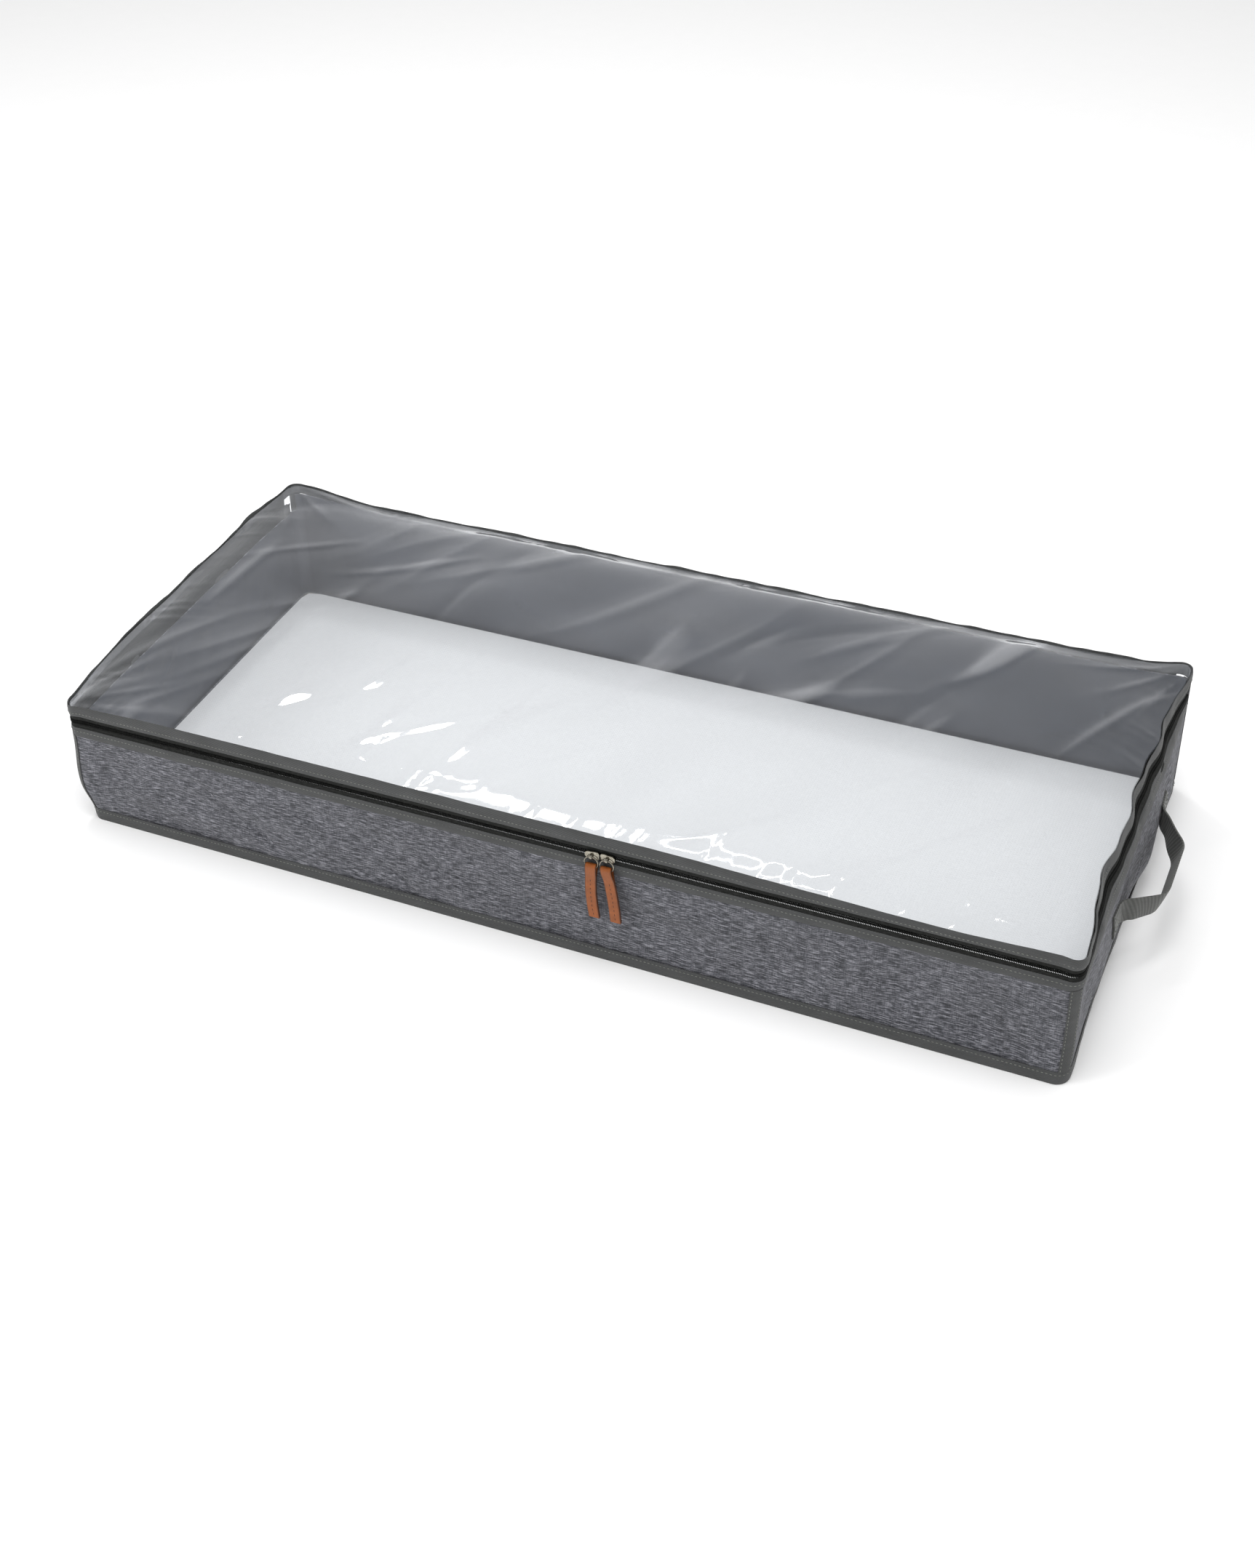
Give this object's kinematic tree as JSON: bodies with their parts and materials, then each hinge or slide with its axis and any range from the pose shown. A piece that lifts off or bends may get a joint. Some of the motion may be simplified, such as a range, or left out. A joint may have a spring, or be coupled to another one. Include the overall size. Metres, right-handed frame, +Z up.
{
  "type": "under bed storage box",
  "caption": "Long low fabric under-bed storage box with a clear film lid on a zip, leather zip pulls and webbing end handles.",
  "frame": {"origin": "centre of the base's underside, on the floor", "axes": "+X along the length towards the right end, +Z up; the zip's sliders are on the front, which is -Y, and the lid folds back at +Y"},
  "size_m": [1.066, 0.4571, 0.16],
  "materials": {
    "heather_fabric": "heathered grey woven polyester",
    "binding_tape": "dark grey woven binding tape, topstitched",
    "zip_tape": "black woven zip tape",
    "zip_coil": "black nylon coil",
    "greyboard": "grey board",
    "lining": "pale nonwoven",
    "clear_film": "clear glossy flexible film",
    "nickel": "nickel plated",
    "leather": "tan leather, centre stitched",
    "webbing": "grey ribbed webbing"
  },
  "bodies": {
    "box": {"base_panel": "heather_fabric", "base_edge_binding": "binding_tape", "base_board": "greyboard", "base_lining": "lining", "front_wall": "heather_fabric", "back_wall": "heather_fabric", "left_wall": "heather_fabric", "right_wall": "heather_fabric", "back_right_corner_binding": "binding_tape", "back_left_corner_binding": "binding_tape", "front_left_corner_binding": "binding_tape", "front_right_corner_binding": "binding_tape", "rim_tape": "binding_tape", "zip_lower_tape": "zip_tape", "zip_lower_coil": "zip_coil", "zip_end_tabs": "zip_tape", "back_hinge_tape": "binding_tape", "left_handle_patches": "webbing", "right_handle_patches": "webbing", "left_handle_ends": "webbing", "right_handle_ends": "webbing"},
    "lid": {"lid_film": "clear_film", "lid_binding": "binding_tape", "zip_upper_tape": "zip_tape", "zip_upper_coil": "zip_coil"},
    "left_slider": {"left_slider": "nickel"},
    "left_ring": {"left_pull_ring": "nickel"},
    "left_pull": {"left_leather_pull": "leather"},
    "right_slider": {"right_slider": "nickel"},
    "right_ring": {"right_pull_ring": "nickel"},
    "right_pull": {"right_leather_pull": "leather"},
    "left_handle": {"left_handle_loop": "webbing"},
    "right_handle": {"right_handle_loop": "webbing"}
  },
  "joints": [
    {"name": "lid_hinge", "type": "hinge", "parent": "box", "child": "lid", "pos_m": [0, 0.2255, 0.131], "axis": [-1, 0, 0], "range_deg": [0, 180]},
    {"name": "left_slider_run", "type": "slide", "parent": "box", "child": "left_slider", "axis": [-1, 0, 0], "range_m": [0, 0.532]},
    {"name": "left_ring_swing", "type": "hinge", "parent": "left_slider", "child": "left_ring", "pos_m": [0.058, -0.229, 0.1238], "axis": [-1, 0, 0], "range_deg": [0, 120]},
    {"name": "left_pull_swing", "type": "hinge", "parent": "left_ring", "child": "left_pull", "pos_m": [0.058, -0.229, 0.1108], "axis": [-1, 0, 0], "range_deg": [0, 15]},
    {"name": "right_slider_run", "type": "slide", "parent": "box", "child": "right_slider", "axis": [1, 0, 0], "range_m": [0, 0.401]},
    {"name": "right_ring_swing", "type": "hinge", "parent": "right_slider", "child": "right_ring", "pos_m": [0.073, -0.229, 0.1238], "axis": [-1, 0, 0], "range_deg": [0, 120]},
    {"name": "right_pull_swing", "type": "hinge", "parent": "right_ring", "child": "right_pull", "pos_m": [0.073, -0.229, 0.1108], "axis": [-1, 0, 0], "range_deg": [0, 15]},
    {"name": "left_handle_lift", "type": "hinge", "parent": "box", "child": "left_handle", "pos_m": [-0.501, 0, 0.066], "axis": [0, 1, 0], "range_deg": [0, 45]},
    {"name": "right_handle_lift", "type": "hinge", "parent": "box", "child": "right_handle", "pos_m": [0.501, 0, 0.066], "axis": [0, -1, 0], "range_deg": [0, 45]}
  ]
}
